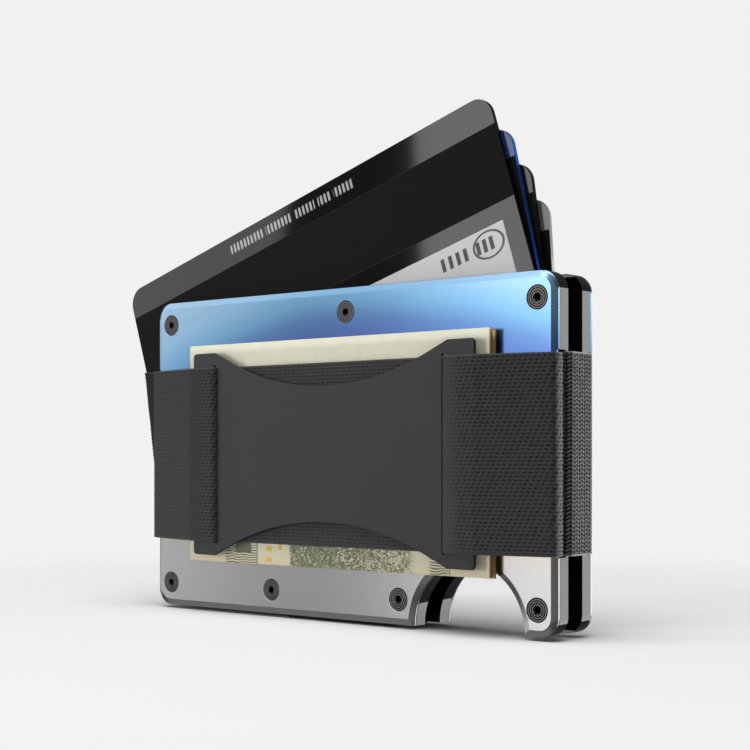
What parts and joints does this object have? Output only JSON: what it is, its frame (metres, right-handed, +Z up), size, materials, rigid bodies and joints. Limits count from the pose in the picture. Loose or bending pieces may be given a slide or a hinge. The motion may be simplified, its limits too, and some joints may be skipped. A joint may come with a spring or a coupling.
{
  "type": "minimalist wallet",
  "caption": "Slim metal card wallet: two plate pairs joined by elastic, thumb notch, cash strap with bracket, fanned cards and folded notes.",
  "frame": {"origin": "centre of the standing face under the bottom band, halfway through the wallet's thickness", "axes": "+X along the wallet towards its thumb notch, +Y through its thickness from the cash strap to the back plate, +Z up"},
  "size_m": [0.0967, 0.0142, 0.0822],
  "materials": {
    "titanium": "fine bead-blasted titanium, heat coloured blue towards the top",
    "black_anodised": "gloss black anodised",
    "dark_steel": "black screw heads with turned rings",
    "elastic": "knitted black elastic",
    "woven_strap": "charcoal woven elastic with a waffle weave",
    "rod_steel": "bright drawn rod",
    "bracket_finish": "matte charcoal, fine satin grain",
    "card_black": "gloss black with a dark matte stripe and a light signature panel",
    "card_blue": "gloss blue",
    "card_dark": "gloss black",
    "card_grey": "silver grey",
    "paper": "cream paper with green engraving"
  },
  "bodies": {
    "front_half": {"front_outer_plate": "titanium", "front_inner_plate": "black_anodised", "front_screws": "dark_steel", "card_band": "elastic", "bottom_band": "elastic", "front_band_pin": "rod_steel", "cash_strap": "woven_strap"},
    "back_half": {"back_inner_plate": "black_anodised", "back_outer_plate": "titanium", "back_screws": "dark_steel", "back_band_pin": "rod_steel"},
    "bracket": {"strap_bracket": "bracket_finish"},
    "banknotes": {"banknote_1": "paper", "banknote_2": "paper", "banknote_3": "paper"},
    "card_one": {"card_1": "card_black"},
    "card_two": {"card_2": "card_blue"},
    "card_three": {"card_3": "card_dark"},
    "card_four": {"card_4": "card_grey"}
  },
  "joints": [
    {"name": "back_half_slide", "type": "slide", "parent": "front_half", "child": "back_half", "axis": [0, 1, 0], "range_m": [0, 0.006], "stiffness_N_per_m": 400, "deforming": ["card_band", "bottom_band"]},
    {"name": "bracket_slide", "type": "slide", "parent": "front_half", "child": "bracket", "axis": [0, -1, 0], "range_m": [0, 0.004], "stiffness_N_per_m": 250, "deforming": ["cash_strap"]},
    {"name": "banknotes_pull", "type": "slide", "parent": "front_half", "child": "banknotes", "axis": [0, 0, 1], "range_m": [0, 0.046]},
    {"name": "card_1_fan", "type": "hinge", "parent": "front_half", "child": "card_one", "pos_m": [-0.05804, 0, 0.01948], "axis": [0, -1, 0], "range_deg": [-17.26, 0]},
    {"name": "card_2_fan", "type": "hinge", "parent": "front_half", "child": "card_two", "pos_m": [-0.06374, 0, 0.01616], "axis": [0, -1, 0], "range_deg": [-13.15, 0]},
    {"name": "card_3_fan", "type": "hinge", "parent": "front_half", "child": "card_three", "pos_m": [-0.07983, 0, 0.00645], "axis": [0, -1, 0], "range_deg": [-8.49, 0]},
    {"name": "card_4_fan", "type": "hinge", "parent": "front_half", "child": "card_four", "pos_m": [-0.12897, 0, -0.02207], "axis": [0, -1, 0], "range_deg": [-4.01, 0]}
  ]
}
